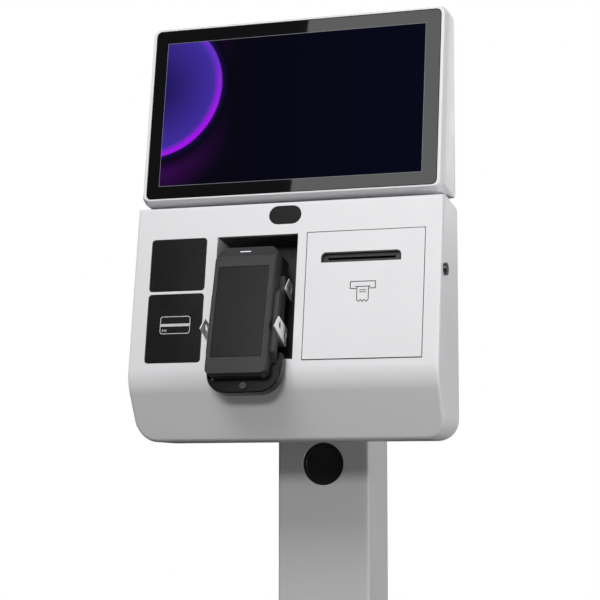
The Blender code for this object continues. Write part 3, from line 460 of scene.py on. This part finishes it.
def make_receipt_icon(ink):
    """Outline of a receipt that leaves a slot, with a zigzag end."""
    bm = bmesh.new()
    (slot_left, slot_right), (slot_low, slot_high) = RECEIPT_SLOT_X, RECEIPT_SLOT_T
    left, right = RECEIPT_X
    slot = [(left - RECEIPT_SIDE_GAP, slot_low), (slot_left, slot_low), (slot_left, slot_high),
            (slot_right, slot_high), (slot_right, slot_low), (right + RECEIPT_SIDE_GAP, slot_low)]
    add_stroke(bm, slot, RECEIPT_LINE, RECEIPT_SKIN)
    top = slot_low + RECEIPT_TOP_GAP
    add_stroke(bm, [(left - RECEIPT_TOP_OVERHANG, top), (right + RECEIPT_TOP_OVERHANG, top)],
               RECEIPT_LINE, RECEIPT_SKIN)
    step = (right - left) / TEETH
    zigzag = [(left + step * i, RECEIPT_LOW - (TOOTH if i % 2 else 0.0)) for i in range(TEETH + 1)]
    add_stroke(bm, [(left, top)] + zigzag + [(right, top)], RECEIPT_LINE, RECEIPT_SKIN)
    for i in range(TEXT_LINES):
        line = top - TEXT_DROP - TEXT_STEP * i
        add_stroke(bm, [(left + TEXT_MARGIN, line), (right - TEXT_MARGIN, line)],
                   RECEIPT_LINE * 0.9, RECEIPT_SKIN)
    make_piece("receipt_icon", bm, MODULE, "printer_door", ink, smooth=False)


RECESS_X = (-89.0, 17.0)
RECESS_T = (25.0, 183.4)
RECESS_DEPTH = (3.0, 51.0)
SHADE_SHEET = (0.9, 0.3)                # far and near side of the painted-shade sheets, from the recess wall
SHADE_SHEET_CORNER = 0.2
SHADE_SHEET_LEFT_GAP = 0.4              # what the painted-shade sheets leave free at the recess's left wall, at its foot, and, on the right wall, below the ceiling
SHADE_SHEET_FOOT_GAP = 0.5              # at its foot,
SHADE_SHEET_HEAD_GAP = 1.3              # and, on the right wall, below the ceiling


def make_recess_shade_sheets(looks):
    """Dark sheets of painted shade on the recess ceiling and its right wall, where shade falls; the left
    wall stays white.
    """
    far, near = SHADE_SHEET
    (left, right), (low, high) = RECESS_X, RECESS_T
    ceiling = bmesh.new()
    add_slab(ceiling, rounded_rect((left + SHADE_SHEET_LEFT_GAP, right - near), (high - far, high - near),
                                   SHADE_SHEET_CORNER, 2), RECESS_DEPTH)
    make_piece("recess_shade_sheet_top", ceiling, MODULE, "kiosk", looks["recess_shade_sheet"])
    # the right wall's sheet of painted shade takes the dark paint look
    wall = bmesh.new()
    add_slab(wall, rounded_rect((right - far, right - near), (low + SHADE_SHEET_FOOT_GAP, high - SHADE_SHEET_HEAD_GAP),
                                SHADE_SHEET_CORNER, 2), RECESS_DEPTH)
    make_piece("recess_shade_sheet_right", wall, MODULE, "kiosk", looks["dark_paint"])


# ---- display ------------------------------------------------------------------------------
PICTURE_X = (-173.4, 170.8)
PICTURE_T = (19.2, 212.8)
PICTURE_SKIN = (0.10, 0.18)
PICTURE_UNIT = 100.0               # the picture's texture coordinates count in these
PLANET = (-190.0, 152.0, 94.0)     # centre and radius of the disc in the picture
BORDER_MARGIN = 0.45
BORDER_LINE = 0.5
BORDER_SKIN = (0.08, 0.19)

DISC_DEEP = (0.016, 0.009, 0.12)
DISC_VIOLET = (0.055, 0.028, 0.36)
RIM_VIOLET = (0.14, 0.03, 0.60)
RIM_MAGENTA = (0.45, 0.0, 0.95)
NIGHT_LEFT = (0.0008, 0.0006, 0.004)
NIGHT_RIGHT = (0.0006, 0.0010, 0.0075)
GLOW_FAR = (0.030, 0.0015, 0.060)
GLOW_NEAR = (0.008, 0.002, 0.055)


def screen_picture():
    """Night-blue wallpaper: a violet disc with a magenta rim and a faint outer glow."""
    s = Shader("screen_picture_look")
    split = s.node("ShaderNodeSeparateXYZ")
    s.link(s.coords.outputs["UV"], split.inputs["Vector"])
    centre_x, centre_t, edge = (value / PICTURE_UNIT for value in PLANET)
    dx = s.math("SUBTRACT", split.outputs["X"], centre_x)
    dt = s.math("SUBTRACT", split.outputs["Y"], centre_t)
    away = s.math("SQRT", s.math("ADD", s.math("MULTIPLY", dx, dx), s.math("MULTIPLY", dt, dt)))

    inside = s.span(away, edge - 0.012, edge + 0.012, 1.0, 0.0, smooth=True)
    rim = s.span(away, edge - 0.13, edge, 0.0, 1.0, smooth=True)
    lean = s.span(s.math("SUBTRACT", dx, dt), 0.5, 1.35, 0.0, 1.0)
    disc = s.mix(s.span(away, 0.25, edge, 0.0, 1.0), DISC_DEEP, DISC_VIOLET)
    disc = s.mix(rim, disc, s.mix(lean, RIM_VIOLET, RIM_MAGENTA))

    halo = s.span(away, edge + 0.05, edge + 0.24, 0.0, 1.0, smooth=True)
    fade = s.span(away, edge + 0.24, edge + 0.62, 1.0, 0.0, smooth=True)
    glow = s.math("MULTIPLY", s.math("MULTIPLY", halo, fade), s.span(dx, 0.2, 1.1, 1.0, 0.0))
    night = s.mix(s.span(split.outputs["X"], -0.8, 1.7, 0.0, 1.0), NIGHT_LEFT, NIGHT_RIGHT)
    near = s.span(away, edge, edge + 0.09, 1.0, 0.0, smooth=True)
    sky = s.mix(near, s.mix(glow, night, GLOW_FAR), GLOW_NEAR)

    s.set(Base_Color=(0.002, 0.002, 0.003), Roughness=s.span(s.noise(40.0), 0.3, 0.7, 0.5, 0.6))
    s.set(Specular_IOR_Level=0.0, Emission_Color=s.mix(inside, sky, disc), Emission_Strength=1.0)
    return s.mat


def make_display_picture(pale_line):
    """The lit picture behind the cover glass, with the thin pale border around it."""
    bm = bmesh.new()
    add_slab(bm, rounded_rect(PICTURE_X, PICTURE_T, 0.3, 1), PICTURE_SKIN)
    uv = bm.loops.layers.uv.new("picture")
    for face in bm.faces:
        for loop in face.loops:
            x, _, t = loop.vert.co
            loop[uv].uv = (x / PICTURE_UNIT, t / PICTURE_UNIT)
    make_piece("display_picture", bm, DISPLAY, "kiosk", screen_picture(), smooth=False)

    left, right = PICTURE_X[0] - BORDER_MARGIN, PICTURE_X[1] + BORDER_MARGIN
    low, high = PICTURE_T[0] - BORDER_MARGIN, PICTURE_T[1] + BORDER_MARGIN
    line = bmesh.new()
    add_stroke(line, [(left, low), (right, low), (right, high), (left, high)],
               BORDER_LINE, BORDER_SKIN, closed=True)
    make_piece("display_active_edge", line, DISPLAY, "kiosk", pale_line, smooth=False)


# ---- payment terminal ---------------------------------------------------------------------
CAP_LOW = (3.1, 160.0)             # ends of the terminal's sloped cap, as (into, up)
CAP_HIGH = (13.0, 176.0)
GLINT_BAR_X = (-10, 4)
GLINT_BAR_UP_CAP = 7.0                 # from the cap's lower end to the bar
GLINT_BAR_HEIGHT = 1.6
GLINT_BAR_LIFT = (-0.2, 0.25)          # below and above the cap's surface


def make_cap_glint_bar():
    """Small pale bar in the terminal's sloped cap that glows faintly: a painted highlight for the white
    glint on the cap.
    """
    s = Shader("cap_glint_bar_look")
    s.set(Base_Color=s.mix(s.noise(300.0), (0.75, 0.76, 0.78), (0.9, 0.9, 0.92)), Roughness=0.2)
    # painted highlight: the pale colour and faint glow stand in for light caught on the cap
    s.set(Emission_Color=(0.8, 0.85, 0.9), Emission_Strength=0.35)
    low = Vector(CAP_LOW)
    along = (Vector(CAP_HIGH) - low).normalized()
    outward = Vector((-along.y, along.x))
    start = low + along * GLINT_BAR_UP_CAP
    outline = rounded_rect(GLINT_BAR_X, (0, GLINT_BAR_HEIGHT), 0.6, 4)
    bm = bmesh.new()
    add_loft(bm, [[(x, *(start + along * up + outward * lift)) for x, up in outline]
                  for lift in GLINT_BAR_LIFT])
    make_piece("terminal_cap_glint_bar", bm, TERMINAL, "payment_terminal", s.mat)


# ---- fasteners of the whole kiosk ---------------------------------------------------------
SCREW_SIDES = 24
FLANGE_TOP = 20.0
FLANGE_SCREW_X = 78
FLANGE_SCREW_Y = (30, 144)
COVER_BACK = 103.0                 # rear face of both rear covers, behind the crease
REAR_SCREW_X = 185
REAR_SCREW_Z = (-50, 70, 195)
DISPLAY_SCREW_X = 186
DISPLAY_SCREW_Z = (240, 345, 450)


def hexagon(radius, angle):
    """Distance to a hexagon's side in a direction."""
    sector = math.pi / 3
    return radius * math.cos(sector / 2) / math.cos((angle % sector) - sector / 2)


def add_screw(name, local, at, facing, radius, looks):
    """Domed socket-head screw whose head stands on a face and looks along a direction."""
    height = radius * 0.62
    socket = radius * 0.45
    rings = [(radius, 0.0, False), (radius, height * 0.45, False), (radius * 0.93, height * 0.72, False),
             (radius * 0.78, height * 0.92, False), (radius * 0.6, height, False), (socket, height, True),
             (socket * 0.96, height * 0.35, True)]
    profile = []
    for size, level, is_socket in rings:
        ring = []
        for i in range(SCREW_SIDES):
            a = 2 * math.pi * i / SCREW_SIDES
            r = hexagon(size, a) if is_socket else size
            ring.append((r * math.cos(a), r * math.sin(a), level))
        profile.append(ring)
    bm = bmesh.new()
    add_loft(bm, profile)
    turn = Vector(facing).to_track_quat("Z", "Y").to_matrix().to_4x4()
    bm.transform(Matrix.Translation(Vector(at)) @ turn)
    make_piece(name, bm, local, "kiosk", looks["zinc"])


def make_fasteners(looks):
    """Pairs of screws, left and right of the middle, one pair in each row."""
    sides = (-1, 1)
    for i, (y, side) in enumerate(itertools.product(FLANGE_SCREW_Y, sides), 1):
        at = (side * FLANGE_SCREW_X, y, FLANGE_TOP)
        add_screw(f"flange_screw_{i}", FLOOR, at, (0, 0, 1), 5.5, looks)
    covers = (("rear_cover_screw", REAR_SCREW_X, REAR_SCREW_Z, 3.2),
              ("display_cover_screw", DISPLAY_SCREW_X, DISPLAY_SCREW_Z, 3.0))
    for name, half_width, rows, radius in covers:
        for i, (z, side) in enumerate(itertools.product(rows, sides), 1):
            at = (side * half_width, COVER_BACK, z)
            add_screw(f"{name}_{i}", UPRIGHT, at, (0, 1, 0), radius, looks)


# ---- camera, light and stage --------------------------------------------------------------
CAMERA_AT_M = (0.70664, -2.19390, 0.79336)
CAMERA_TURN = 0.3190               # radians to the left of +Y
CAMERA_RISE = 0.107                # radians above the horizontal
CAMERA_LENS = 107.78
CAMERA_SENSOR = 36
CAMERA_REACH_M = 60

DISPLAY_AIM_M = (0, -0.05, 1.05)
MODULE_AIM_M = (0, 0, 0.9)
LIGHTS = (                         # name, place, aim and size in metres, watts, seen in reflections
    ("key", (-0.5, -2.2, 3.2), DISPLAY_AIM_M, (2.0, 1.4), 50, False),
    ("fill", (0.3, -2.5, 1.62), MODULE_AIM_M, (0.9, 0.3), 20, False),
    ("side", (2.5, -0.5, 0.55), MODULE_AIM_M, (1.3, 1.0), 31, True),
    ("back", (0.4, 2.6, 2.3), DISPLAY_AIM_M, (2.2, 1.6), 30, True),
)
SKY_STRENGTH = 0.30
SKY_SPAN = (-0.5, 0.8)             # heights of direction where the sky goes from black to white
REFLECTED_GREY = (0.05, 0.05, 0.055)

CARD_X_M = (-0.44, 0.45)
CARD_Y_M = -1.30
CARD_Z_M = (1.35, 2.60)
CARD_STRENGTH = 2.6
FLOOR_RADIUS_M = 4.0


def make_camera():
    data = bpy.data.cameras.new("camera")
    camera = bpy.data.objects.new("camera", data)
    bpy.context.scene.collection.objects.link(camera)
    forward = Vector((-math.sin(CAMERA_TURN) * math.cos(CAMERA_RISE),
                      math.cos(CAMERA_TURN) * math.cos(CAMERA_RISE), math.sin(CAMERA_RISE)))
    right = Vector((math.cos(CAMERA_TURN), math.sin(CAMERA_TURN), 0))
    up = right.cross(forward)
    axes = Matrix((right, up, -forward)).transposed().to_4x4()
    camera.matrix_world = Matrix.Translation(CAMERA_AT_M) @ axes
    data.lens = CAMERA_LENS
    data.sensor_width = CAMERA_SENSOR
    data.clip_end = CAMERA_REACH_M
    bpy.context.scene.camera = camera


def add_area_light(name, at, aim, size, power, in_reflections):
    data = bpy.data.lights.new(name, "AREA")
    data.shape = "RECTANGLE"
    data.size, data.size_y = size
    data.energy = power
    lamp = bpy.data.objects.new(name, data)
    bpy.context.scene.collection.objects.link(lamp)
    lamp.location = at
    lamp.rotation_mode = "QUATERNION"
    lamp.rotation_quaternion = (Vector(at) - Vector(aim)).to_track_quat("Z", "Y")
    lamp.visible_glossy = in_reflections


def make_world():
    """White behind the object, dim grey in reflections, and a soft gradient as its light."""
    world = bpy.data.worlds.new("studio")
    bpy.context.scene.world = world
    world.use_nodes = True
    nodes, links = world.node_tree.nodes, world.node_tree.links
    nodes.clear()

    coords = nodes.new("ShaderNodeTexCoord")
    split = nodes.new("ShaderNodeSeparateXYZ")
    rise = nodes.new("ShaderNodeMapRange")
    rise.inputs["From Min"].default_value, rise.inputs["From Max"].default_value = SKY_SPAN
    soft = nodes.new("ShaderNodeBackground")
    soft.inputs["Strength"].default_value = SKY_STRENGTH
    links.new(coords.outputs["Generated"], split.inputs["Vector"])
    links.new(split.outputs["Z"], rise.inputs["Value"])
    links.new(rise.outputs["Result"], soft.inputs["Color"])

    dim = nodes.new("ShaderNodeBackground")
    dim.inputs["Color"].default_value = (*REFLECTED_GREY, 1)
    seen = nodes.new("ShaderNodeBackground")
    seen.inputs["Color"].default_value = (1, 1, 1, 1)
    path = nodes.new("ShaderNodeLightPath")
    glossy = nodes.new("ShaderNodeMixShader")
    links.new(path.outputs["Is Glossy Ray"], glossy.inputs["Fac"])
    links.new(soft.outputs["Background"], glossy.inputs[1])
    links.new(dim.outputs["Background"], glossy.inputs[2])
    whole = nodes.new("ShaderNodeMixShader")
    links.new(path.outputs["Is Camera Ray"], whole.inputs["Fac"])
    links.new(glossy.outputs["Shader"], whole.inputs[1])
    links.new(seen.outputs["Background"], whole.inputs[2])
    out = nodes.new("ShaderNodeOutputWorld")
    links.new(whole.outputs["Shader"], out.inputs["Surface"])


def make_floor():
    bm = bmesh.new()
    bmesh.ops.create_circle(bm, cap_ends=True, radius=FLOOR_RADIUS_M, segments=96)
    s = Shader("floor_look")
    s.set(Base_Color=s.mix(s.noise(2.0), (0.86, 0.86, 0.86), (0.9, 0.9, 0.9)), Roughness=0.7)
    floor = mesh_object("studio_floor", bm, s.mat)
    floor.visible_diffuse = False
    floor.visible_glossy = False


def make_reflection_card():
    """Bright card that the display's cover glass mirrors across its right part."""
    (left, right), (low, high) = CARD_X_M, CARD_Z_M
    bm = bmesh.new()
    bm.faces.new([bm.verts.new((x, CARD_Y_M, z))
                  for x, z in ((left, low), (right, low), (right, high), (left, high))])
    s = Shader("card_look")
    s.set(Base_Color=(0, 0, 0), Emission_Color=(1, 1, 1), Emission_Strength=CARD_STRENGTH)
    card = mesh_object("reflection_card", bm, s.mat)
    card.visible_camera = False
    card.visible_diffuse = False
    card.visible_shadow = False
    card.visible_transmission = False


def make_studio():
    make_world()
    make_floor()
    make_reflection_card()
    for light in LIGHTS:
        add_area_light(*light)
    bpy.context.scene.view_settings.view_transform = "Standard"


def main():
    make_camera()
    looks = make_looks()
    dress_nodes(looks)
    make_card_icon(flat_ink("pale_ink", (0.62, 0.63, 0.65)))
    make_receipt_icon(flat_ink("dark_ink", (0.022, 0.022, 0.024)))
    # dark sheets of painted shade in the recess
    make_recess_shade_sheets(looks)
    make_display_picture(flat_ink("pale_line", (0.20, 0.21, 0.24)))
    # pale glowing bar: painted highlight on the terminal's cap
    make_cap_glint_bar()
    make_fasteners(looks)
    make_studio()


main()
